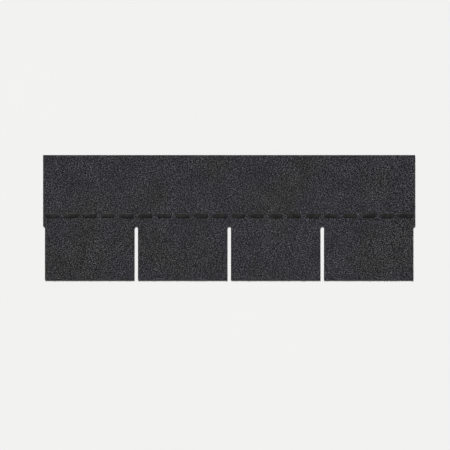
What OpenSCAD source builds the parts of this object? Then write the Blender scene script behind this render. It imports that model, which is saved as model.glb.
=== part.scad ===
// Four-tab asphalt strip shingle, lying face up.
//
// Millimetres. The origin is the centre of the back face. +X runs along the course, +Y points up
// the roof slope and +Z points out of the granule-surfaced weather face.

/* [Strip] */
// Length of the strip, along the course
strip_length = 1000; // [600:5:1500]
// Depth of the strip, up the slope
strip_depth = 336; // [280:1:450]
// Thickness of the coated mat, over the granules
strip_thickness = 3; // [2:0.1:6]

/* [Tabs] */
// Number of tabs side by side
tab_count = 4; // [2:1:6]
// Depth of the tabs, which is the height that each course shows
exposure = 145; // [100:1:180]
// Width of the cutout between two tabs
cutout_width = 10; // [4:0.5:20]

/* [Seal strip] */
// Height of the seal strip's centre line above the cutouts
seal_rise = 28; // [22:1:34]
// Length of one adhesive dash, along the course
dash_length = 38; // [20:1:60]
// Width of one adhesive dash, up the slope
dash_width = 13; // [6:0.5:16]
// Height of a dash above the weather face
dash_height = 0.8; // [0.4:0.1:1.5]
// Clear space between two dashes
dash_gap = 12; // [6:1:30]

/* [Release film] */
// Width of the release film on the back
film_width = 30; // [20:1:40]
// Thickness of the release film
film_thickness = 0.1; // [0.05:0.05:0.3]

/* [Hidden] */

$fn = 48;
// How far a cutting shape runs past the surface that it cuts
cut_past = 1;

tab_pitch = strip_length / tab_count;
butt_edge_y = -strip_depth / 2;
cutout_top_y = butt_edge_y + exposure;
seal_y = cutout_top_y + seal_rise;
// Dashes that fit on the strip with at least half a gap left at each end
dash_pitch = dash_length + dash_gap;
dash_count = floor(strip_length / dash_pitch);

// One cutout in plan: parallel sides up from the butt edge and a half-round end.
module cutout_outline() {
    end_radius = cutout_width / 2;
    translate([-end_radius, -cut_past])
        square([cutout_width, exposure - end_radius + cut_past]);
    translate([0, exposure - end_radius])
        circle(r = end_radius);
}

// The strip in plan. A cutout centred on each end leaves half of it there, so that two strips
// laid end to end form a whole one.
module strip_outline() {
    difference() {
        square([strip_length, strip_depth], center = true);
        for (i = [0 : tab_count])
            translate([i * tab_pitch - strip_length / 2, butt_edge_y])
                cutout_outline();
    }
}

// The sheet of coated mat, with a shallow bed in its back that the release film is pressed into.
module shingle() {
    color("#37363a")
    difference() {
        linear_extrude(height = strip_thickness)
            strip_outline();
        translate([-strip_length / 2 - cut_past, seal_y - film_width / 2, -cut_past])
            cube([strip_length + 2 * cut_past, film_width, film_thickness + cut_past]);
    }
}

// One dash of seal-down adhesive: a flat bead with round ends, centred on its own middle.
module adhesive_dash() {
    end_radius = dash_width / 2;
    straight = dash_length - dash_width;
    linear_extrude(height = dash_height)
        union() {
            square([straight, dash_width], center = true);
            for (side = [-1, 1])
                translate([side * straight / 2, 0])
                    circle(r = end_radius);
        }
}

// The row of dashes on the weather face, above the cutouts, that bonds the course laid over it.
module seal_strip() {
    color("#161514")
    for (i = [0 : dash_count - 1])
        translate([(i - (dash_count - 1) / 2) * dash_pitch, seal_y, strip_thickness])
            adhesive_dash();
}

// The film on the back, behind the seal strip, that keeps stacked shingles from sticking.
module release_film() {
    color("#b9bcbd")
    translate([-strip_length / 2, seal_y - film_width / 2, 0])
        cube([strip_length, film_width, film_thickness]);
}

shingle();
seal_strip();
release_film();
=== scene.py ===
"""Looks of a four-tab asphalt strip shingle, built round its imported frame.

The frame gives the sizes: the strip's outline, the adhesive dashes and the release film. Round it
this script sets up a plain studio, then makes the coated mat with its sheared edges, the mineral
granules pressed into the weather face, the domed adhesive dashes and the film on the back.
Everything is in metres, in the frame's own axes: +X along the course, +Y up the slope, +Z up.
"""

from __future__ import annotations

import logging
from dataclasses import dataclass
from enum import Enum
from typing import Any, ClassVar, Sequence

import bpy
import numpy as np
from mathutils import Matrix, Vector

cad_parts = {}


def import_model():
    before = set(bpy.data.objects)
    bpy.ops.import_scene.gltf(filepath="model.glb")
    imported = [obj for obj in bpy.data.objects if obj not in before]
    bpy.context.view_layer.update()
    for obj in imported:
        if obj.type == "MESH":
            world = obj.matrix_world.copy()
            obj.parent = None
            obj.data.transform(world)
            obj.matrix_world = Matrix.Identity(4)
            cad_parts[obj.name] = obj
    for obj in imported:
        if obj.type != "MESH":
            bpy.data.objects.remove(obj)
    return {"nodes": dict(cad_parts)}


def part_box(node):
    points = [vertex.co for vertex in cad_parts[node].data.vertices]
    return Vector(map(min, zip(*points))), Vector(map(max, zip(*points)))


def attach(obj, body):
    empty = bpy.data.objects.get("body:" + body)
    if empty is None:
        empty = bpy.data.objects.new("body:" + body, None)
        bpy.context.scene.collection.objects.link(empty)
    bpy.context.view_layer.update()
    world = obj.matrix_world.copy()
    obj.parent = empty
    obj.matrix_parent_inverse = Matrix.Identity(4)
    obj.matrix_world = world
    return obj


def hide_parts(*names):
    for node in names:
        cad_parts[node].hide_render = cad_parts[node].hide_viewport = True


log = logging.getLogger("shingle")

MM = 0.001
NEAR = 0.01 * MM
BODY = "root"
SEED = 20
NOISE_RANGE = (0.3, 0.7)

Vector3 = tuple[float, float, float]
Colour = Vector3
Span = tuple[float, float]
Piece = bpy.types.Object
Socket = bpy.types.NodeSocket


class Node(str, Enum):
    """The frame's nodes, each of which a detailed piece stands for."""

    SHINGLE = "shingle"
    SEAL_STRIP = "seal_strip"
    RELEASE_FILM = "release_film"


class Slot(str, Enum):
    """The record's material slots."""

    WEATHER_FACE = "granule_surfaced_asphalt"
    SEAL = "seal_adhesive"
    FILM = "release_film"


class Trait(str, Enum):
    """Numbers that each granule carries in its mesh for its finish to read, all from 0 to 1."""

    TONE = "tone"
    TINT = "tint"


# ----- Meshes -------------------------------------------------------------------------------


def triangle_corners(node: Piece) -> np.ndarray:
    """Reads the corners of a frame node's faces, which are all triangles.

    Args:
        node: the node, a mesh object at the origin.

    Returns:
        An array of shape (triangles, 3 corners, 3).
    """
    places = np.empty(len(node.data.vertices) * 3, np.float32)
    node.data.vertices.foreach_get("co", places)
    corners = np.empty(len(node.data.loops), np.int32)
    node.data.loops.foreach_get("vertex_index", corners)
    return places.reshape(-1, 3)[corners].reshape(-1, 3, 3).astype(float)


def merged_spans(lows: np.ndarray, highs: np.ndarray) -> tuple[np.ndarray, np.ndarray]:
    """Merges spans that touch or overlap.

    In the order of their lows, a new span starts where one begins past every high before it.

    Args:
        lows: where each span begins.
        highs: where each span ends.

    Returns:
        The merged spans' lows and highs, in order.
    """
    order = np.argsort(lows)
    begins, reached = lows[order], np.maximum.accumulate(highs[order])
    fresh = np.flatnonzero(np.append(True, begins[1:] > reached[:-1] + NEAR))
    return begins[fresh], reached[np.append(fresh[1:] - 1, -1)]


@dataclass(frozen=True)
class Band:
    """Closed rows of vertices, where row r and place p are vertex r * around + p.

    The faces look outwards where the rows run anticlockwise and climb.
    """

    rows: int
    around: int

    def sides(self) -> np.ndarray:
        """Joins each row to the next with quads, along its own places and back along the next's.

        Returns:
            Vertex numbers of shape (faces, 4).
        """
        row, place = np.meshgrid(np.arange(self.rows - 1), np.arange(self.around), indexing="ij")
        after = (place + 1) % self.around
        low, high = row * self.around, (row + 1) * self.around
        return np.stack([low + place, low + after, high + after, high + place], -1).reshape(-1, 4)

    def root(self) -> np.ndarray:
        """Closes the first row with one face, which looks down."""
        return np.arange(self.around)[None, ::-1]

    def crown(self) -> np.ndarray:
        """Closes the last row with one face, which looks up."""
        return np.arange(self.around)[None] + (self.rows - 1) * self.around

    def zipped_crown(self) -> list[np.ndarray]:
        """Closes a last row of an even number of places across its long way.

        Place p faces place around - p. A quad lies between each such pair and the next pair, and
        a triangle at each end.

        Returns:
            Vertex numbers of the quads, and of the two triangles.
        """
        half, first = self.around // 2, (self.rows - 1) * self.around
        place = np.arange(1, half - 1)
        quads = np.stack([place, place + 1, self.around - place - 1, self.around - place], -1)
        ends = np.array([(0, 1, self.around - 1), (half - 1, half, half + 1)])
        return [first + quads, first + ends]


def new_piece(
    name: str, points: np.ndarray, faces: Sequence[np.ndarray], smooth: bool = False
) -> Piece:
    """Makes a mesh object at the origin.

    Args:
        name: the piece's name.
        points: its vertices, of shape (vertices, 3).
        faces: arrays of vertex numbers, each of shape (faces, corners of a face).
        smooth: True to shade across the faces' edges.

    Returns:
        The object, linked to the scene.
    """
    corners = np.concatenate([group.ravel() for group in faces])
    sizes = np.concatenate([np.full(len(group), group.shape[1]) for group in faces])
    mesh = bpy.data.meshes.new(name)
    mesh.vertices.add(len(points))
    mesh.vertices.foreach_set("co", points.astype(np.float32).ravel())
    mesh.loops.add(len(corners))
    mesh.loops.foreach_set("vertex_index", corners.astype(np.int32))
    mesh.polygons.add(len(sizes))
    mesh.polygons.foreach_set("loop_start", np.append(0, np.cumsum(sizes)[:-1]).astype(np.int32))
    mesh.update(calc_edges=True)
    if smooth:
        mesh.shade_smooth()
    else:
        mesh.shade_flat()
    piece = bpy.data.objects.new(name, mesh)
    bpy.context.scene.collection.objects.link(piece)
    return piece


def softened(raw: np.ndarray, *reach: float) -> np.ndarray:
    """Blurs a grid of numbers under a bell curve, as if the grid's opposite sides met.

    Each wave in the grid shrinks by exp(-2 (pi * reach * waves a place)^2), which is the bell
    curve's own spectrum.

    Args:
        raw: numbers of shape (rows, columns).
        reach: the bell curve's spread from row to row and along the rows, in places.

    Returns:
        An array of the same shape.
    """
    up, across = (spread * np.fft.fftfreq(count) for spread, count in zip(reach, raw.shape))
    shrink = np.exp(-2 * np.pi**2 * (up[:, None] ** 2 + across**2))
    return np.fft.ifft2(np.fft.fft2(raw) * shrink).real


def smooth_rows(rng: np.random.Generator, rows: int, around: int, reach: float) -> np.ndarray:
    """Makes closed rows of smooth random numbers, with a mean of 0 and a spread of 1.

    Args:
        rng: the random source.
        rows: how many rows.
        around: how many numbers in a row, the last of which meets the first.
        reach: how far each number is blurred along its row, in places.

    Returns:
        An array of shape (rows, around).
    """
    mixed = softened(rng.normal(size=(rows, around)), 0, reach)
    return (mixed - mixed.mean()) / mixed.std()


# ----- Shader graphs ------------------------------------------------------------------------


def with_alpha(value: Any) -> Any:
    """Gives a colour or a grey an alpha of 1, and leaves a socket as it is."""
    colour = (value,) * 3 if isinstance(value, (int, float)) else value
    return (*colour, 1) if isinstance(colour, tuple) else colour


class Graph:
    """Adds nodes to one tree and joins them, so that a finish reads as a few short lines.

    Its patterns read the position that a material or a group gives it.
    """

    position: Socket

    def __init__(self, tree: bpy.types.NodeTree) -> None:
        """Starts on a material's, a world's or a group's tree."""
        self.tree = tree

    def node(
        self, kind: str, inputs: dict[Any, Any] | None = None, **options: Any
    ) -> bpy.types.Node:
        """Adds a node.

        Args:
            kind: the node's type, without the word ShaderNode in front.
            inputs: a socket to link, or a plain value, for each input's name or number.
            options: the node's own settings.

        Returns:
            The node.
        """
        made = self.tree.nodes.new("ShaderNode" + kind)
        for name, value in options.items():
            setattr(made, name, value)
        for name, value in (inputs or {}).items():
            if isinstance(value, Socket):
                self.tree.links.new(value, made.inputs[name])
            else:
                made.inputs[name].default_value = value
        return made

    def math(self, operation: str, *values: Any, clamp: bool = False) -> Socket:
        """Returns the result of an operation on sockets or numbers."""
        inputs = dict(enumerate(values))
        return self.node("Math", inputs, operation=operation, use_clamp=clamp).outputs[0]

    def mix(self, factor: Any, first: Any, second: Any, how: str = "MIX") -> Socket:
        """Mixes two colours.

        Args:
            factor: how much of the second shows, from 0 to 1.
            first: a colour, a grey or a socket.
            second: a colour, a grey or a socket.
            how: the way of mixing, such as MIX or MULTIPLY.

        Returns:
            The mixed colour.
        """
        factor_in, first_in, second_in, colour_out = 0, 6, 7, 2
        inputs = {factor_in: factor, first_in: with_alpha(first), second_in: with_alpha(second)}
        return self.node("Mix", inputs, data_type="RGBA", blend_type=how).outputs[colour_out]

    def dimmed(self, colour: Any, level: Socket) -> Socket:
        """Returns a colour times a number, which may be over 1."""
        grey = self.node("CombineColor", {"Red": level, "Green": level, "Blue": level}).outputs[0]
        return self.mix(1.0, colour, grey, "MULTIPLY")

    def ramp(self, factor: Socket, stops: dict[float, Any]) -> Socket:
        """Turns a number from 0 to 1 into a colour.

        Args:
            factor: the number.
            stops: the colour, or the grey, at each place.

        Returns:
            The colour.
        """
        made = self.node("ValToRGB", {"Fac": factor})
        elements = made.color_ramp.elements
        while len(elements) < len(stops):
            elements.new(0.5)
        for element, (place, colour) in zip(elements, sorted(stops.items())):
            element.position = place
            element.color = with_alpha(colour)
        return made.outputs["Color"]

    def step(self, value: Any, low: Any, high: Any, start: Any = 0, end: Any = 1) -> Socket:
        """Carries a number from low..high smoothly over to start..end, held at both ends."""
        inputs = {"Value": value, "From Min": low, "From Max": high, "To Min": start, "To Max": end}
        return self.node("MapRange", inputs, interpolation_type="SMOOTHSTEP").outputs["Result"]

    def noise(self, size: Any, detail: float = 2, **mapping: Vector3) -> Socket:
        """Makes soft noise, nearly all of it in NOISE_RANGE.

        Args:
            size: about how wide its lumps are, in metres.
            detail: how many times finer lumps are laid over them.
            mapping: a Scale for X, Y and Z, of which one under 1 draws the lumps out that way,
                or a Location, to read the noise somewhere else.

        Returns:
            The noise.
        """
        place = self.position
        if mapping:
            place = self.node("Mapping", {"Vector": place, **mapping}).outputs["Vector"]
        inputs = {"Vector": place, "Scale": self.math("DIVIDE", 1, size), "Detail": detail}
        return self.node("TexNoise", inputs).outputs["Fac"]

    def bump(self, height: Socket, depth: float, under: Socket | None = None) -> Socket:
        """Turns a relief into a normal.

        Args:
            height: its height, from 0 to 1.
            depth: how many metres the height of 1 stands for.
            under: the normal of a coarser relief that it lies on.

        Returns:
            The normal.
        """
        inputs = {"Height": height, "Distance": depth, "Strength": 1}
        if under is not None:
            inputs["Normal"] = under
        return self.node("Bump", inputs).outputs["Normal"]


class Surface(Graph):
    """A new material's graph, with its Principled shader and the position that patterns read."""

    def __init__(self, name: str, **constants: float) -> None:
        """Makes the material.

        Args:
            name: its name.
            constants: plain values for the shader's sockets, with _ for a space in a name.
        """
        self.material = bpy.data.materials.new(name)
        self.material.use_nodes = True
        super().__init__(self.material.node_tree)
        self.shader = self.tree.nodes["Principled BSDF"]
        for key, value in constants.items():
            self.shader.inputs[key.replace("_", " ")].default_value = value
        self.position = self.node("TexCoord").outputs["Object"]

    def finished(self, **varying: Socket) -> bpy.types.Material:
        """Links what varies over the surface to its shader.

        Args:
            varying: a socket for each of the shader's that vary, with _ for a space in a name.

        Returns:
            The material.
        """
        for key, socket in varying.items():
            self.tree.links.new(socket, self.shader.inputs[key.replace("_", " ")])
        return self.material


class Effect(Graph):
    """A node group that several finishes share. It is made once, when a finish first uses it."""

    NAME: ClassVar[str]
    NUMBERS: ClassVar[tuple[str, ...]]
    OUTPUTS: ClassVar[tuple[str, ...]]

    def __init__(self) -> None:
        """Makes the group, with a position and numbers for inputs, and draws what it does."""
        super().__init__(bpy.data.node_groups.new(self.NAME, "ShaderNodeTree"))
        sockets = [("Position", "INPUT", "Vector")]
        sockets += [(name, "INPUT", "Float") for name in self.NUMBERS]
        sockets += [(name, "OUTPUT", "Float") for name in self.OUTPUTS]
        for name, side, kind in sockets:
            self.tree.interface.new_socket(name=name, in_out=side, socket_type="NodeSocket" + kind)
        self.given = self.tree.nodes.new("NodeGroupInput").outputs
        self.position = self.given["Position"]
        end = self.tree.nodes.new("NodeGroupOutput")
        for name, socket in self.draw().items():
            self.tree.links.new(socket, end.inputs[name])

    @classmethod
    def use(cls, surface: Surface, **numbers: Any) -> bpy.types.NodeOutputs:
        """Puts the group into a finish.

        Args:
            surface: the finish's surface.
            numbers: a socket or a number for each of the group's numbers.

        Returns:
            The group's outputs, by name.
        """
        tree = bpy.data.node_groups.get(cls.NAME) or cls().tree
        inputs = {"Position": surface.position, **numbers}
        return surface.node("Group", inputs, node_tree=tree).outputs

    def draw(self) -> dict[str, Socket]:
        """Returns a socket for each of the group's outputs, worked out from what it is given."""
        raise NotImplementedError


class Mottle(Effect):
    """Soft blotches, as the granule drum and the weather leave them.

    Level is 1 on average, and strays about as far as Amount. Tint wanders from 0 to 1 on its own.
    """

    NAME = "soft_mottle"
    NUMBERS = ("Size", "Amount")
    OUTPUTS = ("Level", "Tint")
    ELSEWHERE = (3.1, 1.7, 0.4)
    WIDER = 1.7
    TINTED = (0.36, 0.64)

    def draw(self) -> dict[str, Socket]:
        """Draws Level = 1 + Amount * (4 * noise - 2), and Tint = wider noise read elsewhere.

        Returns:
            The outputs.
        """
        swing = self.math("MULTIPLY_ADD", self.noise(self.given["Size"]), 4.0, -2.0)
        level = self.math("MULTIPLY_ADD", swing, self.given["Amount"], 1.0)
        wide = self.math("MULTIPLY", self.given["Size"], self.WIDER)
        tint = self.step(self.noise(wide, 1, Location=self.ELSEWHERE), *self.TINTED)
        return {"Level": level, "Tint": tint}


class Grit(Effect):
    """Small mineral grains, side by side.

    Tone is a number of each grain's own, from 0 to 1. Height is domed over each grain.
    """

    NAME = "mineral_grit"
    NUMBERS = ("Size",)
    OUTPUTS = ("Tone", "Height")
    FINER = 0.3
    UNEVEN = 0.35

    def draw(self) -> dict[str, Socket]:
        """Draws cells: Tone = a cell's red, and Height = 1 - the way to its middle + finer noise.

        Returns:
            The outputs.
        """
        size = self.given["Size"]
        inputs = {"Vector": self.position, "Scale": self.math("DIVIDE", 1, size)}
        cells = self.node("TexVoronoi", inputs).outputs
        fine = self.noise(self.math("MULTIPLY", size, self.FINER))
        dome = self.math("SUBTRACT", 1.0, cells["Distance"], clamp=True)
        height = self.math("MULTIPLY_ADD", fine, self.UNEVEN, dome)
        tone = self.node("SeparateColor", {"Color": cells["Color"]}).outputs["Red"]
        return {"Tone": tone, "Height": height}


# ----- Finishes -----------------------------------------------------------------------------


@dataclass(frozen=True)
class GranuleFinish:
    """Crushed rock with a baked ceramic colour: mostly charcoal, with black and grey granules."""

    black: Colour = (0.003, 0.003, 0.0031)
    charcoal: Colour = (0.009, 0.009, 0.0091)
    slate: Colour = (0.096, 0.096, 0.097)
    pale: Colour = (0.175, 0.175, 0.175)
    charcoal_tone: float = 0.5
    slate_tones: Span = (0.82, 0.94)
    cool: Colour = (1.0, 0.98, 1.3)
    warm: Colour = (1.0, 1.0, 0.95)
    mottle_size: float = 0.075
    mottle_amount: float = 0.24
    grain_size: float = 0.55 * MM
    grain_depth: float = 0.06 * MM
    grain_contrast: float = 0.5
    roughness: Span = (0.5, 0.8)

    def material(self) -> bpy.types.Material:
        """Builds the granules' material.

        The granule's own tone picks its colour, from black through charcoal to slate, with a few
        pale ones. Mottling and the grains inside a granule make it lighter or darker, and the
        tint leans it towards lavender or olive.

        Returns:
            The material.
        """
        graph = Surface("ceramic_granules", IOR=1.5, Specular_IOR_Level=0.23)
        tone, tint = (
            graph.node("Attribute", attribute_name=trait.value).outputs["Fac"] for trait in Trait
        )
        shades = {place: self.slate for place in self.slate_tones}
        shades.update({0.0: self.black, self.charcoal_tone: self.charcoal, 1.0: self.pale})
        own = graph.ramp(tone, shades)
        mottle = Mottle.use(graph, Size=self.mottle_size, Amount=self.mottle_amount)
        grit = Grit.use(graph, Size=self.grain_size)
        contrast = self.grain_contrast
        speckle = graph.math("MULTIPLY_ADD", grit["Tone"], contrast, 1 - contrast / 2)
        level = graph.math("MULTIPLY", mottle["Level"], speckle)
        lean = graph.math("MULTIPLY_ADD", tint, 0.5, graph.math("MULTIPLY", mottle["Tint"], 0.5))
        hue = graph.mix(lean, self.warm, self.cool)
        colour = graph.dimmed(graph.mix(1.0, own, hue, "MULTIPLY"), level)
        rough = graph.step(grit["Tone"], 0.0, 1.0, *self.roughness)
        relief = graph.bump(grit["Height"], self.grain_depth)
        return graph.finished(Base_Color=colour, Roughness=rough, Normal=relief)


@dataclass(frozen=True)
class CoatingFinish:
    """Filled asphalt between the granules: black and dull, with fine broken grains in it."""

    bitumen: Colour = (0.006, 0.0059, 0.0058)
    grain: Colour = (0.03, 0.0295, 0.031)
    grain_tones: Span = (0.35, 0.5)
    grain_size: float = 0.75 * MM
    grain_depth: float = 0.1 * MM
    roughness: Span = (0.58, 0.85)

    def material(self) -> bpy.types.Material:
        """Builds the coating's material. Cells with a high tone are grains, the rest is asphalt.

        Returns:
            The material.
        """
        graph = Surface("asphalt_coating", IOR=1.5, Specular_IOR_Level=0.25)
        grit = Grit.use(graph, Size=self.grain_size)
        grains = graph.step(grit["Tone"], *self.grain_tones)
        colour = graph.mix(grains, self.bitumen, self.grain)
        rough = graph.step(grains, 0.0, 1.0, *self.roughness)
        relief = graph.bump(grit["Height"], self.grain_depth)
        return graph.finished(Base_Color=colour, Roughness=rough, Normal=relief)


@dataclass(frozen=True)
class ShearedEdgeFinish:
    """The cut edge: torn asphalt with stone dust, and the glass mat's fibres half way up."""

    asphalt: Colour = (0.012, 0.0118, 0.0115)
    dust: Colour = (0.055, 0.054, 0.052)
    dust_tones: Span = (0.55, 0.8)
    fibre: Colour = (0.15, 0.135, 0.11)
    fibre_cover: float = 0.6
    mat_height: float = 1.25 * MM
    mat_half: float = 0.22 * MM
    thread_size: float = 0.9 * MM
    threads_over: Span = (0.45, 0.6)
    drag_size: float = 0.5 * MM
    drag_scale: Vector3 = (1.0, 1.0, 0.22)
    drag_depth: float = 0.25 * MM
    grit_size: float = 0.45 * MM
    grit_depth: float = 0.08 * MM
    roughness: Span = (0.5, 0.85)

    def material(self) -> bpy.types.Material:
        """Builds the edge's material.

        The blade leaves drag marks that run down the edge, which is noise stretched along Z. The
        fibres show in a band of heights round the mat's, broken up along the edge.

        Returns:
            The material.
        """
        graph = Surface("sheared_edge", IOR=1.5)
        drag = graph.noise(self.drag_size, 3, Scale=self.drag_scale)
        grit = Grit.use(graph, Size=self.grit_size)
        height = graph.node("SeparateXYZ", {"Vector": graph.position}).outputs["Z"]
        off_mat = graph.math("ABSOLUTE", graph.math("SUBTRACT", height, self.mat_height))
        band = graph.step(off_mat, 0.0, self.mat_half, self.fibre_cover, 0.0)
        broken = graph.step(graph.noise(self.thread_size), *self.threads_over)
        dusty = graph.math("MULTIPLY", graph.step(grit["Tone"], *self.dust_tones), drag)
        colour = graph.mix(dusty, self.asphalt, self.dust)
        colour = graph.mix(graph.math("MULTIPLY", band, broken), colour, self.fibre)
        rough = graph.step(drag, *NOISE_RANGE, *self.roughness)
        marks = graph.bump(drag, self.drag_depth)
        relief = graph.bump(grit["Height"], self.grit_depth, marks)
        return graph.finished(Base_Color=colour, Roughness=rough, Normal=relief)


@dataclass(frozen=True)
class SandedBackFinish:
    """The back: fine sand rolled into the asphalt so that strips don't stick together."""

    asphalt: Colour = (0.016, 0.0155, 0.015)
    sand: Colour = (0.11, 0.102, 0.09)
    sand_tones: Span = (0.4, 0.75)
    sand_size: float = 0.4 * MM
    sand_depth: float = 0.12 * MM
    mottle_size: float = 0.05
    mottle_amount: float = 0.25
    streak_size: float = 4 * MM
    streak_scale: Vector3 = (0.15, 1.0, 1.0)
    roughness: Span = (0.6, 0.9)

    def material(self) -> bpy.types.Material:
        """Builds the back's material.

        Sand covers the cells whose tone is over a threshold, which mottling moves up and down,
        and it lies thicker in streaks along the strip, the way that the sheet ran.

        Returns:
            The material.
        """
        graph = Surface("sanded_back", IOR=1.5)
        grit = Grit.use(graph, Size=self.sand_size)
        mottle = Mottle.use(graph, Size=self.mottle_size, Amount=self.mottle_amount)
        covered = graph.math("MULTIPLY", grit["Tone"], mottle["Level"])
        sand = graph.step(covered, *self.sand_tones)
        streaks = graph.noise(self.streak_size, Scale=self.streak_scale)
        colour = graph.mix(graph.math("MULTIPLY", sand, streaks), self.asphalt, self.sand)
        rough = graph.step(sand, 0.0, 1.0, *self.roughness)
        relief = graph.bump(grit["Height"], self.sand_depth)
        return graph.finished(Base_Color=colour, Roughness=rough, Normal=relief)


@dataclass(frozen=True)
class AdhesiveFinish:
    """Extruded sealing bitumen: black, with a soft gloss, a drawn skin and a little dust."""

    bitumen: Colour = (0.0065, 0.006, 0.0055)
    dust: Colour = (0.06, 0.058, 0.056)
    patch_size: float = 9 * MM
    patches_over: Span = (0.4, 0.66)
    speck_size: float = 0.72 * MM
    specks_over: Span = (0.38, 0.62)
    dusty_slopes: Span = (0.2, 0.95)
    dust_amount: float = 0.35
    dust_dulls: float = 0.5
    skin_size: float = 1.6 * MM
    skin_scale: Vector3 = (0.3, 1.0, 1.0)
    skin_depth: float = 0.1 * MM
    lump_size: float = 2.4 * MM
    lump_depth: float = 0.35 * MM
    roughness: Span = (0.46, 0.62)

    def material(self) -> bpy.types.Material:
        """Builds the dashes' material.

        The skin is drawn out along the strip, so its noise is stretched along X, over low lumps
        where granules show through from below. Pale dust, which settles in patches of specks on
        what looks up, dulls and greys it.

        Returns:
            The material.
        """
        graph = Surface("sealing_bitumen", IOR=1.55, Specular_IOR_Level=0.22)
        skin = graph.noise(self.skin_size, 3, Scale=self.skin_scale)
        lumps = graph.noise(self.lump_size, 1)
        patches = graph.step(graph.noise(self.patch_size), *self.patches_over)
        specks = graph.step(graph.noise(self.speck_size), *self.specks_over)
        normal = graph.node("NewGeometry").outputs["Normal"]
        up = graph.node("SeparateXYZ", {"Vector": normal}).outputs["Z"]
        facing = graph.step(up, *self.dusty_slopes, 0.0, self.dust_amount)
        dust = graph.math("MULTIPLY", graph.math("MULTIPLY", patches, specks), facing)
        colour = graph.mix(dust, self.bitumen, self.dust)
        bare = graph.step(skin, *NOISE_RANGE, *self.roughness)
        rough = graph.math("MULTIPLY_ADD", dust, self.dust_dulls, bare)
        relief = graph.bump(skin, self.skin_depth, graph.bump(lumps, self.lump_depth))
        return graph.finished(Base_Color=colour, Roughness=rough, Normal=relief)


@dataclass(frozen=True)
class FilmFinish:
    """Clear release film with the dark back behind it: silvery grey, half glossy, wrinkled."""

    clear: Colour = (0.25, 0.258, 0.262)
    lifted: Colour = (0.34, 0.347, 0.35)
    lifted_over: Span = (0.42, 0.62)
    wrinkle_size: float = 9 * MM
    wrinkle_scale: Vector3 = (1.0, 0.35, 1.0)
    wrinkle_depth: float = 0.35 * MM
    line_size: float = 1.2 * MM
    line_scale: Vector3 = (0.02, 1.0, 1.0)
    line_depth: float = 0.01 * MM
    blotch_size: float = 18 * MM
    blotch_amount: float = 0.25
    roughness: Span = (0.24, 0.34)

    def material(self) -> bpy.types.Material:
        """Builds the film's material.

        Wrinkles run across the film, which is noise drawn out along Y. Where a wrinkle lifts the
        film off the asphalt it is paler. The roller left faint lines along it, and blotches of
        handling dull it.

        Returns:
            The material.
        """
        graph = Surface("release_film", IOR=1.5, Specular_IOR_Level=0.4)
        wrinkles = graph.noise(self.wrinkle_size, 3, Scale=self.wrinkle_scale)
        lines = graph.noise(self.line_size, Scale=self.line_scale)
        blotches = Mottle.use(graph, Size=self.blotch_size, Amount=self.blotch_amount)
        colour = graph.mix(graph.step(wrinkles, *self.lifted_over), self.clear, self.lifted)
        polish = graph.step(lines, *NOISE_RANGE, *self.roughness)
        rough = graph.math("MULTIPLY", blotches["Level"], polish)
        relief = graph.bump(lines, self.line_depth, graph.bump(wrinkles, self.wrinkle_depth))
        return graph.finished(Base_Color=colour, Roughness=rough, Normal=relief)


@dataclass(frozen=True)
class FloorFinish:
    """A pale painted studio floor, a little uneven in tone."""

    paint: Colour = (0.8, 0.8, 0.795)
    mottle_size: float = 0.6
    mottle_amount: float = 0.008

    def material(self) -> bpy.types.Material:
        """Builds the floor's material.

        Returns:
            The material.
        """
        graph = Surface("studio_floor", Roughness=1.0, Specular_IOR_Level=0.0)
        mottle = Mottle.use(graph, Size=self.mottle_size, Amount=self.mottle_amount)
        return graph.finished(Base_Color=graph.dimmed(self.paint, mottle["Level"]))


# ----- Sizes from the frame -----------------------------------------------------------------


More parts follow.
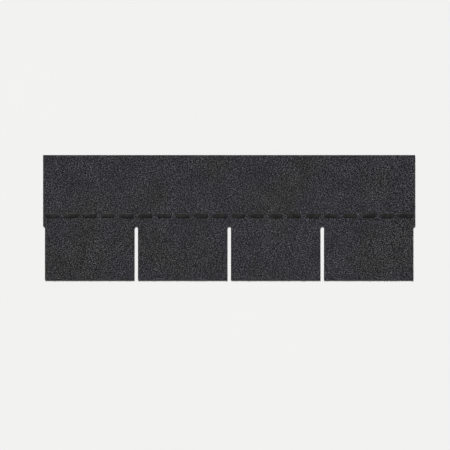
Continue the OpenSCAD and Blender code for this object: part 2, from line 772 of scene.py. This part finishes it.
@dataclass(frozen=True)
class Strip:
    """The strip's outline: a rectangle with round-ended cutouts up from its butt edge.

    The first and the last cutout are halves, at the strip's ends.
    """

    low: np.ndarray
    high: np.ndarray
    cutouts: np.ndarray
    cutout_radius: float
    cutout_top: float
    granule_relief: float = 0.55 * MM

    ARC_POINTS = 17

    @classmethod
    def from_node(cls, node: Piece) -> Strip:
        """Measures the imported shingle.

        The faces on the butt edge show where the tabs are, and a cutout lies between two tabs.
        The lowest corner on the strip's left end is where its half cutout ends.

        Args:
            node: the frame's shingle node.

        Returns:
            The strip.
        """
        corners = triangle_corners(node)
        low, high = corners.min((0, 1)), corners.max((0, 1))
        butt = corners[(corners[..., 1] < low[1] + NEAR).all(1), :, 0]
        starts, ends = merged_spans(butt.min(1), butt.max(1))
        lefts, rights = ends[:-1], starts[1:]
        cutouts = np.concatenate([[low[0]], (lefts + rights) / 2, [high[0]]])
        left_end = corners[corners[..., 0] < low[0] + NEAR]
        return cls(low, high, cutouts, float((rights - lefts).mean() / 2), left_end[:, 1].min())

    @property
    def bed(self) -> float:
        """The height of the asphalt between the granules."""
        return float(self.high[2]) - self.granule_relief

    def depth_inside(self, places: np.ndarray) -> np.ndarray:
        """Tells how far places lie inside the outline.

        It is the least of the distances to the rectangle's four sides and to the cutouts. A
        cutout's edge lies one radius away from the line up its middle.

        Args:
            places: x and y, of shape (..., 2).

        Returns:
            Metres inside, or less than 0 outside, of shape (...).
        """
        to_sides = np.minimum(places - self.low[:2], self.high[:2] - places).min(-1)
        across = places[..., None, 0] - self.cutouts
        above = np.maximum(places[..., None, 1] - self.cutout_top + self.cutout_radius, 0)
        return np.minimum(to_sides, np.hypot(across, above).min(-1) - self.cutout_radius)

    def outline(self, step: float) -> tuple[np.ndarray, np.ndarray]:
        """Walks round the outline, anticlockwise from above.

        Each cutout is a walk up its left side, over its round end from 180 degrees to 0 and down
        its right side. All of them in a row, kept where they lie on the strip, are the butt edge
        too. Then each stretch is cut into equal steps.

        Args:
            step: the longest step.

        Returns:
            The points and the outward directions there, both of shape (points, 2).
        """
        turn = np.linspace(np.pi, 0, self.ARC_POINTS)
        across = np.concatenate([[-1], np.cos(turn), [1]]) * self.cutout_radius
        arc = self.cutout_top + (np.sin(turn) - 1) * self.cutout_radius
        up = np.concatenate([[self.low[1]], arc, [self.low[1]]])
        x = (self.cutouts[:, None] + across).ravel()
        walk = np.stack([x, np.tile(up, len(self.cutouts))], -1)
        on_strip = (x > self.low[0] - NEAR) & (x < self.high[0] + NEAR)
        far_side = [self.high[:2], [self.low[0], self.high[1]]]
        corners = np.concatenate([walk[on_strip], far_side])
        ahead = np.roll(corners, -1, 0) - corners
        counts = np.maximum(np.ceil(np.hypot(*ahead.T) / step), 1).astype(int)
        stretch = np.repeat(np.arange(len(corners)), counts)
        part = np.arange(len(stretch)) - np.repeat(np.cumsum(counts) - counts, counts)
        points = corners[stretch] + ahead[stretch] * (part / counts[stretch])[:, None]
        along = np.roll(points, -1, 0) - np.roll(points, 1, 0)
        outward = np.stack([along[:, 1], -along[:, 0]], -1)
        return points, outward / np.hypot(*outward.T)[:, None]


@dataclass(frozen=True)
class Dashes:
    """The adhesive dashes' places: a row of strokes with round ends, all of one width."""

    starts: np.ndarray
    ends: np.ndarray
    low: np.ndarray
    high: np.ndarray

    @classmethod
    def from_node(cls, node: Piece) -> Dashes:
        """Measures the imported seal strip. A dash is a stretch along X that faces cover.

        Args:
            node: the frame's seal strip node.

        Returns:
            The dashes.
        """
        corners = triangle_corners(node)
        x = corners[..., 0]
        starts, ends = merged_spans(x.min(1), x.max(1))
        return cls(starts, ends, corners.min((0, 1)), corners.max((0, 1)))

    @property
    def radius(self) -> float:
        """Half a dash's width."""
        return float(self.high[1] - self.low[1]) / 2

    @property
    def middle_y(self) -> float:
        """The dashes' centre line."""
        return float(self.high[1] + self.low[1]) / 2

    def depth_inside(self, places: np.ndarray) -> np.ndarray:
        """Tells how far places lie inside the nearest dash: its radius less the way to its spine.

        Args:
            places: x and y, of shape (..., 2).

        Returns:
            Metres inside, or less than 0 outside, of shape (...).
        """
        x = places[..., None, 0]
        past = np.maximum(self.starts + self.radius - x, x - self.ends + self.radius)
        off = places[..., 1] - self.middle_y
        return self.radius - np.hypot(np.maximum(past, 0).min(-1), off)


# ----- Sub-assemblies -----------------------------------------------------------------------


@dataclass(frozen=True)
class SubAssembly:
    """A part of the object: it builds its pieces, dresses them and ties them to the frame."""

    rng: np.random.Generator

    SLOT: ClassVar[Slot]
    NODES: ClassVar[tuple[Node, ...]] = ()
    FINISHES: ClassVar[tuple[Any, ...]]

    def build(self) -> list[Piece]:
        """Returns the pieces, bare."""
        raise NotImplementedError

    def dress(self, pieces: list[Piece]) -> None:
        """Gives every piece the finishes, each of which is made once.

        Args:
            pieces: the bare pieces.
        """
        for finish in self.FINISHES:
            material = finish.material()
            for piece in pieces:
                piece.data.materials.append(material)

    def make(self) -> list[Piece]:
        """Builds the pieces, dresses them and ties them to the frame and its nodes.

        Returns:
            The finished pieces.
        """
        pieces = self.build()
        self.dress(pieces)
        for piece in pieces:
            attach(piece, BODY)
            for node in self.NODES:
                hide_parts(node.value)
        return pieces


@dataclass(frozen=True)
class CoatedMat(SubAssembly):
    """The sheet itself: a glass mat coated with asphalt on both faces, sheared to its outline."""

    strip: Strip
    step: float = 1.5 * MM
    back_gap: float = 0.04 * MM
    raggedness: float = 0.05 * MM
    rag_reach: float = 1.3

    SLOT = Slot.WEATHER_FACE
    NODES = (Node.SHINGLE,)
    FINISHES = (CoatingFinish(), ShearedEdgeFinish(), SandedBackFinish())

    # The edge's section, from the back up: how many millimetres inside the outline each row
    # lies, and its share of the height. The blade presses the back's corner round and tears the
    # weather face's a little further in.
    SECTION = np.array(
        [(0.6, 0.0), (0.12, 0.03), (0.02, 0.2), (0.05, 0.5), (0.02, 0.75), (0.1, 0.94), (0.6, 1.0)]
    )

    class Face(int, Enum):
        """Which finish each group of faces wears."""

        COATING = 0
        EDGE = 1
        BACK = 2

    def build(self) -> list[Piece]:
        """Carries the edge's section round the outline and closes both faces.

        A point is the outline's point less its outward direction times the row's inset, to which
        smooth random numbers round the outline add a ragged bit.

        Returns:
            The one piece.
        """
        points, outward = self.strip.outline(self.step)
        inset, share = self.SECTION.T
        height = self.back_gap + share * (self.strip.bed - self.back_gap)
        band = Band(len(inset), len(points))
        rag = np.abs(smooth_rows(self.rng, band.rows, band.around, self.rag_reach))
        inwards = inset[:, None] * MM + rag * self.raggedness
        plan = points - inwards[..., None] * outward
        heights = np.broadcast_to(height[:, None, None], (*inwards.shape, 1))
        body = np.concatenate([plan, heights], -1).reshape(-1, 3)
        return [new_piece("coated_mat", body, [band.sides(), band.root(), band.crown()])]

    def dress(self, pieces: list[Piece]) -> None:
        """Gives the weather face, the sheared edge and the back a finish each.

        Args:
            pieces: the one piece, whose last two faces are its back and its weather face.
        """
        super().dress(pieces)
        faces = pieces[0].data.polygons
        worn = np.full(len(faces), self.Face.EDGE.value, np.int32)
        worn[-2:] = self.Face.BACK.value, self.Face.COATING.value
        faces.foreach_set("material_index", worn)


@dataclass(frozen=True)
class GranuleLayer(SubAssembly):
    """The weather face's mineral granules, each a small crystal set into the asphalt.

    A crystal has a triangle for a root and a triangle for a crown, turned half way past each
    other and joined by six triangles. Every corner strays at random, so no two are alike. Fewer
    are large than small, and the large ones stand out further.
    """

    strip: Strip
    dashes: Dashes
    pitch: float = 1.83 * MM
    smallest: float = 0.42
    size_range: float = 0.36
    size_blend: Span = (1.2, 2.0)
    crowding: float = 0.93
    settling_rounds: int = 10
    settling: float = 0.6
    clump: float = 0.3
    even_over: float = 1.2
    evenness: float = 0.85
    root_depth: float = 0.3 * MM
    sunk: float = 0.42 * MM
    sunk_blend: Span = (1.2, 1.8)
    large_stand_out: float = 0.7
    tilt: float = 0.16 * MM
    corner_turn: float = 0.17
    corner_spread: float = 0.16
    crown_share: Span = (0.7, 1.1)
    drawn_out: Span = (0.84, 1.24)
    covered_by_dash: float = 0.9 * MM
    edge_room: float = 0.25 * MM

    SLOT = Slot.WEATHER_FACE
    FINISHES = (GranuleFinish(),)

    # The crystal's faces: root corners are 0 to 2 and crown corners 3 to 5, anticlockwise
    # from above, and crown corner 3 stands between root corners 0 and 1.
    FACES = np.array(
        [(3, 4, 5), (0, 2, 1), (0, 1, 3), (1, 4, 3), (1, 2, 4), (2, 5, 4), (2, 0, 5), (0, 3, 5)]
    )
    CORNERS = 6

    # How many of the grid's cells lie past the strip on every side, and how many cells away a
    # granule still pushes another.
    SPARE_CELLS = 4
    PUSH_CELLS = 2

    def scatter(self) -> tuple[np.ndarray, np.ndarray, np.ndarray]:
        """Drops granules of many sizes over the strip, evenly but with no order.

        They start on staggered rows, each moved to anywhere in its own cell of the grid. Then all
        of them are pushed off every neighbour that lies nearer than both radii, less what the
        crowding allows, by half of what is missing, several times over.

        Returns:
            Their places, of shape (granules, 2), a little past the strip on every side, their
            sizes, from 0 for the smallest to 1, and their tones.
        """
        cell = np.array([self.pitch, self.pitch * np.sqrt(0.75)])
        cells = (self.strip.high - self.strip.low)[:2] / cell + 2 * self.SPARE_CELLS
        across, up = np.ceil(cells).astype(int)
        row, column = np.meshgrid(np.arange(up), np.arange(across), indexing="ij")
        grid = np.stack([column + 0.5 * (row % 2), row], -1) * cell
        places = grid + self.rng.uniform(-0.5, 0.5, grid.shape) * cell
        size = self.rng.beta(*self.size_blend, grid.shape[:2])
        reach = self.crowding * self.radius(size)
        ways = range(-self.PUSH_CELLS, self.PUSH_CELLS + 1)
        near = [(up_by, along_by) for up_by in ways for along_by in ways if up_by or along_by]
        for _ in range(self.settling_rounds):
            push = np.zeros_like(places)
            for shift in near:
                away = places - np.roll(places, shift, (0, 1))
                distance = np.maximum(np.hypot(away[..., 0], away[..., 1]), NEAR)
                apart = reach + np.roll(reach, shift, (0, 1))
                missing = np.maximum(apart - distance, 0) / distance
                push += 0.5 * away * missing[..., None]
            places = places + self.settling * push
        places = places + self.strip.low[:2] - self.SPARE_CELLS * cell
        return places.reshape(-1, 2), size.ravel(), self.tones(size.shape).ravel()

    def tones(self, shape: tuple[int, ...]) -> np.ndarray:
        """Gives each granule a tone from 0 to 1, all equally common.

        Its number is random, shared a little with the granules next to it, less a part of the
        mean of those further round it. So dark and light granules come in small clumps, but the
        blend stays even over the strip. The numbers' ranks are the tones.

        Args:
            shape: the rows and columns of the granules' grid.

        Returns:
            An array of that shape.
        """
        raw = self.rng.normal(size=shape)
        around = softened(raw, self.even_over, self.even_over)
        mixed = softened(raw, self.clump, self.clump) - self.evenness * around
        return mixed.ravel().argsort().argsort().reshape(shape) / (mixed.size - 1)

    def radius(self, size: np.ndarray) -> np.ndarray:
        """Returns the radius of granules of sizes from 0 to 1."""
        return self.pitch * (self.smallest + self.size_range * size)

    def crystals(self, places: np.ndarray, size: np.ndarray) -> np.ndarray:
        """Shapes a crystal at each place.

        Corner k of the root lies at heading + 120 k degrees and corner k of the crown 60 degrees
        further round, each some share of the granule's radius out. The whole is drawn out one way
        by a random share and in by as much the other way. The crowns stand up to the strip's full
        thickness, the small ones sunk deeper and all tilted.

        Args:
            places: their places.
            size: their sizes, from 0 to 1.

        Returns:
            Corners of shape (granules, 6, 3).
        """
        rng, count, corners = self.rng, len(places), self.CORNERS
        third = np.arange(3) * 2 * np.pi / 3
        order = np.concatenate([third, third + np.pi / 3])
        in_crown = np.arange(corners) >= 3
        heading = rng.uniform(0, 2 * np.pi, (count, 1))
        angle = heading + order + rng.normal(0, self.corner_turn, (count, corners))
        share = np.where(in_crown, rng.uniform(*self.crown_share, (count, 1)), 1.0)
        spread = rng.uniform(-self.corner_spread, self.corner_spread, (count, corners))
        out = self.radius(size)[:, None] * share * (1 + spread)
        grain = rng.uniform(0, np.pi, (count, 1))
        drawn = rng.uniform(*self.drawn_out, (count, 1))
        long_way = out * np.cos(angle - grain) * drawn
        short_way = out * np.sin(angle - grain) / drawn
        x = long_way * np.cos(grain) - short_way * np.sin(grain)
        y = long_way * np.sin(grain) + short_way * np.cos(grain)
        deep = self.sunk * rng.beta(*self.sunk_blend, (count, 1))
        deep = deep * (1 - self.large_stand_out * size[:, None])
        crown = self.strip.high[2] - deep + rng.normal(0, self.tilt, (count, corners))
        height = np.where(in_crown, crown, self.strip.bed - self.root_depth)
        return self.sheared(np.stack([x + places[:, :1], y + places[:, 1:], height], -1))

    def sheared(self, solid: np.ndarray) -> np.ndarray:
        """Cuts crystals off at the outline, as the blade does.

        A corner that lies outside is moved inwards by as much as it is outside, in the direction
        in which the depth inside the outline grows fastest.

        Args:
            solid: corners of shape (granules, 6, 3).

        Returns:
            The corners, none outside the outline.
        """
        plan = solid[..., :2]
        depth = self.strip.depth_inside(plan)
        ways = NEAR * np.eye(2)
        growth = np.stack([self.strip.depth_inside(plan + way) - depth for way in ways], -1)
        moved = plan - np.minimum(depth, 0)[..., None] * growth / NEAR
        return np.concatenate([moved, solid[..., 2:]], -1)

    def panel(self, name: str, solid: np.ndarray, traits: dict[Trait, np.ndarray]) -> Piece:
        """Makes some of the granules a piece, with its map laid out as its plan.

        A face that looks down would hide the face above it on the map, so its corners all read
        the spot at the granule's middle.

        Args:
            name: the piece's name.
            solid: its crystals' corners, of shape (granules, 6, 3).
            traits: the numbers that its granules carry.

        Returns:
            The piece.
        """
        first = np.arange(len(solid))[:, None, None] * self.CORNERS
        piece = new_piece(name, solid.reshape(-1, 3), [(first + self.FACES).reshape(-1, 3)])
        for trait, values in traits.items():
            layer = piece.data.attributes.new(trait.value, "FLOAT", "POINT")
            layer.data.foreach_set("value", np.repeat(values, self.CORNERS).astype(np.float32))
        plan = solid[:, self.FACES, :2]
        one, two = plan[..., 1, :] - plan[..., 0, :], plan[..., 2, :] - plan[..., 0, :]
        looks_up = one[..., 0] * two[..., 1] > one[..., 1] * two[..., 0]
        middle = solid[:, None, None, :, :2].mean(-2)
        spots = np.where(looks_up[..., None, None], plan, middle).reshape(-1, 2)
        low, high = spots.min(0), spots.max(0)
        layer = piece.data.uv_layers.new(name="OFBake")
        layer.uv.foreach_set("vector", ((spots - low) / (high - low)).astype(np.float32).ravel())
        return piece

    def build(self) -> list[Piece]:
        """Builds the granules panel by panel: each tab, and the headlap above each tab.

        Returns:
            The panels.
        """
        places, size, tone = self.scatter()
        on_strip = self.strip.depth_inside(places) > self.edge_room
        bare = self.dashes.depth_inside(places) < self.covered_by_dash
        places, size, tone = (values[on_strip & bare] for values in (places, size, tone))
        solid = self.crystals(places, size)
        tint = self.rng.uniform(size=len(places))
        column = np.searchsorted(self.strip.cutouts, places[:, 0])
        in_tab = places[:, 1] < self.strip.cutout_top
        panels = []
        for number in range(1, len(self.strip.cutouts)):
            for part, chosen in (("tab", in_tab), ("headlap", ~in_tab)):
                mine = (column == number) & chosen
                traits = {Trait.TONE: tone[mine], Trait.TINT: tint[mine]}
                panels.append(self.panel(f"granules_{part}_{number}", solid[mine], traits))
        return panels


@dataclass(frozen=True)
class SealStrip(SubAssembly):
    """The adhesive dashes: domed beads of bitumen, laid hot over the granules."""

    strip: Strip
    dashes: Dashes
    around: int = 88
    root: float = 0.1 * MM
    wobble: float = 0.28 * MM
    wobble_reach: float = 5.0
    lift: float = 0.05 * MM
    lift_reach: float = 3.0
    ripple: float = 11 * MM
    lean: float = 0.1

    SLOT = Slot.SEAL
    NODES = (Node.SEAL_STRIP,)
    FINISHES = (AdhesiveFinish(),)

    # The rows of a bead, from its root up over its rim to beside its spine, as shares of the way
    # from the spine to the rim.
    SHARES = np.array([0.99, 1.0, 0.975, 0.92, 0.83, 0.72, 0.58, 0.43, 0.28, 0.12])

    def build(self) -> list[Piece]:
        """Builds all the beads as one mesh.

        Round a bead, at turn t, a point is its middle plus (L * clip(4 cos t, -1, 1) + s r cos t,
        s r sin t), where L is half its straight length, r its radius and s the row's share. Its
        height over the weather face grows as sqrt(1 - s^3), with s times smooth lumps round the
        bead, 1 - s times a sine wave along it, and a little more at the end where the nozzle
        stopped. All heights are then scaled so that the highest bead is as high as the frame's.
        The rim goes down into the asphalt.

        Returns:
            The one piece.
        """
        dashes, radius = self.dashes, self.dashes.radius
        share = self.SHARES[:, None]
        low, high = dashes.low[2], dashes.high[2]
        beads, band = len(dashes.starts), Band(len(share), self.around)
        turn = np.arange(self.around) * 2 * np.pi / self.around
        middle = ((dashes.starts + dashes.ends) / 2)[:, None, None]
        straight = ((dashes.ends - dashes.starts) / 2)[:, None, None] - radius
        wobble = smooth_rows(self.rng, beads, self.around, self.wobble_reach)[:, None]
        out = share * (radius + self.wobble * wobble)
        x = middle + straight * np.clip(4 * np.cos(turn), -1, 1) + out * np.cos(turn)
        y = dashes.middle_y + out * np.sin(turn)
        lumps = share * smooth_rows(self.rng, beads, self.around, self.lift_reach)[:, None]
        phase = self.rng.uniform(0, 2 * np.pi, (beads, 1, 1))
        wave = (1 - share) * np.sin(2 * np.pi * (x - middle) / self.ripple + phase)
        nozzle = 1 + self.lean * (x - middle) / (straight + radius)
        rise = np.sqrt(1 - share**3) * (high - low + self.lift * (lumps + wave)) * nozzle
        z = low + rise * (high - low) / rise.max()
        z[:, 0], z[:, 1] = self.strip.bed - self.root, low - self.root
        points = np.stack(np.broadcast_arrays(x, y, z), -1).reshape(-1, 3)
        first = (np.arange(beads) * band.rows * band.around)[:, None, None]
        bead = [band.sides(), band.root(), *band.zipped_crown()]
        faces = [(first + group).reshape(-1, group.shape[1]) for group in bead]
        return [new_piece("adhesive_dashes", points, faces, smooth=True)]


@dataclass(frozen=True)
class ReleaseTape(SubAssembly):
    """The release film on the back: one long thin tape, creased where it was rolled on."""

    low: np.ndarray
    high: np.ndarray
    mat_back: float
    stations: int = 301
    across: int = 11
    crease: float = 0.006 * MM
    crease_reach: float = 2.5
    clearance: float = 0.004 * MM

    SLOT = Slot.FILM
    NODES = (Node.RELEASE_FILM,)
    FINISHES = (FilmFinish(),)

    def build(self) -> list[Piece]:
        """Carries a flat section along X.

        The section runs along its lower side towards +Y and back along its upper side. The lower
        side lies half way between the floor and the mat's back, plus one row of smooth random
        numbers times cos(3 pi p) and another times sin(2 pi p), where p is the share of the way
        across. It stays clear of the floor and of the mat. The upper side is inside the mat.

        Returns:
            The one piece.
        """
        x = np.linspace(self.low[0], self.high[0], self.stations)
        y = np.linspace(self.low[1], self.high[1], self.across)
        part = np.linspace(0, 1, self.across)
        one, two = smooth_rows(self.rng, 2, self.stations, self.crease_reach)[:, :, None]
        creases = self.crease * (one * np.cos(3 * np.pi * part) + two * np.sin(2 * np.pi * part))
        lower = np.clip(self.mat_back / 2 + creases, self.clearance, self.mat_back - self.clearance)
        section_y = np.concatenate([y, y[::-1]])
        section_z = np.concatenate([lower, np.full_like(lower, self.high[2])], 1)
        grid_x, grid_y = np.meshgrid(x, section_y, indexing="ij")
        points = np.stack([grid_x, grid_y, section_z], -1).reshape(-1, 3)
        band = Band(self.stations, 2 * self.across)
        return [new_piece("release_tape", points, [band.sides(), band.root(), band.crown()])]


# ----- Studio -------------------------------------------------------------------------------


@dataclass(frozen=True)
class Studio:
    """A pale floor, a soft low key light from the upper left, even fill, and the camera."""

    floor_half: float = 60.0
    floor_gap: float = 0.01 * MM
    key_direction: Vector3 = (-0.36, 0.93, 0.6)
    key_strength: float = 6.03
    key_width_deg: float = 8.0
    fill: float = 0.12
    backdrop: float = 0.885
    aim: tuple[float, float] = (-0.0108, -0.0202)
    frame_width: float = 1.2105
    lens: float = 85.0
    sensor: float = 36.0

    def floor(self) -> None:
        """Lays the floor just under the strip, far enough out to reach the horizon."""
        half, height = self.floor_half, -self.floor_gap
        corners = np.array([(-half, -half), (half, -half), (half, half), (-half, half)])
        points = np.column_stack([corners, np.full(4, height)])
        piece = new_piece("floor", points, [np.arange(4)[None]])
        piece.data.materials.append(FloorFinish().material())

    def key(self) -> None:
        """Hangs the key, a broad distant lamp."""
        lamp = bpy.data.lights.new("key", "SUN")
        lamp.energy = self.key_strength
        lamp.angle = np.radians(self.key_width_deg)
        key = bpy.data.objects.new("key", lamp)
        key.rotation_mode = "QUATERNION"
        key.rotation_quaternion = Vector(self.key_direction).to_track_quat("Z", "Y")
        bpy.context.scene.collection.objects.link(key)

    def room(self) -> None:
        """Fills the room evenly.

        The camera sees the room in the floor's own brightness, so that they meet without a line.
        """
        world = bpy.data.worlds.new("studio")
        world.use_nodes = True
        bpy.context.scene.world = world
        world.node_tree.nodes.clear()
        graph = Graph(world.node_tree)
        fill = graph.node("Background", {"Color": with_alpha(1.0), "Strength": self.fill})
        seen = graph.node("Background", {"Color": with_alpha(1.0), "Strength": self.backdrop})
        is_seen = graph.node("LightPath").outputs["Is Camera Ray"]
        both = graph.node("MixShader", {0: is_seen, 1: fill.outputs[0], 2: seen.outputs[0]})
        graph.node("OutputWorld", {"Surface": both.outputs[0]})

    def camera(self) -> None:
        """Hangs the camera over the strip, looking straight down with +Y up the picture.

        Its height is the width that it takes in, times the lens's length over the sensor's width.
        """
        data = bpy.data.cameras.new("camera")
        data.lens = self.lens
        data.sensor_width = self.sensor
        data.clip_end = 2 * self.floor_half
        camera = bpy.data.objects.new("camera", data)
        camera.location = (*self.aim, self.frame_width * self.lens / self.sensor)
        bpy.context.scene.collection.objects.link(camera)
        bpy.context.scene.camera = camera

    def make(self) -> None:
        """Sets the studio up, with colours shown as they are."""
        bpy.context.scene.view_settings.view_transform = "Standard"
        self.floor()
        self.key()
        self.room()
        self.camera()


# ----- Making -------------------------------------------------------------------------------


def main() -> None:
    """Loads the frame, then builds the pieces in order and reports each."""
    logging.basicConfig(level=logging.INFO, format="%(name)s: %(message)s")
    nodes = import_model()["nodes"]
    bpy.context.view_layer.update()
    strip = Strip.from_node(nodes[Node.SHINGLE.value])
    dashes = Dashes.from_node(nodes[Node.SEAL_STRIP.value])
    film_low, film_high = (np.array(corner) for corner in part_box(Node.RELEASE_FILM.value))
    Studio().make()
    rng = np.random.default_rng(SEED)
    mat = CoatedMat(rng, strip)
    sub_assemblies = (
        mat,
        GranuleLayer(rng, strip, dashes),
        SealStrip(rng, strip, dashes),
        ReleaseTape(rng, film_low, film_high, mat.back_gap),
    )
    total = 0
    for sub_assembly in sub_assemblies:
        for piece in sub_assembly.make():
            piece.data.calc_loop_triangles()
            triangles = len(piece.data.loop_triangles)
            log.info("%s: %d triangles", piece.name, triangles)
            total += triangles
    log.info("in all: %d triangles", total)


if __name__ == "__main__":
    main()
